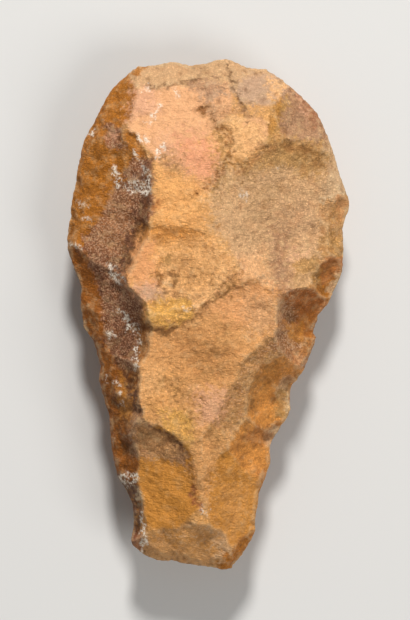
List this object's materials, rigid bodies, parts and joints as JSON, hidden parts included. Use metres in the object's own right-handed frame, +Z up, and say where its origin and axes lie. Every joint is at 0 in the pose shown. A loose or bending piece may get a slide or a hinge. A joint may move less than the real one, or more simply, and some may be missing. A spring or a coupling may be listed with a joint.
{
  "type": "stone hand axe",
  "caption": "Flaked quartzite hand axe: a flat pear-shaped stone with a broad rounded working end, chipped edges and faces, and a narrow blunt butt to grip.",
  "frame": {"origin": "on the surface that the stone lies on, under the middle of its overall box", "axes": "+Z up through the front face, +Y along the stone towards the broad working end, +X to the right seen from the front"},
  "size_m": [0.0998, 0.18, 0.0428],
  "materials": {
    "quartzite": "weathered brown and ochre quartzite, fine grained and matt"
  },
  "bodies": {
    "root": {"hand_axe": "quartzite"}
  },
  "joints": []
}
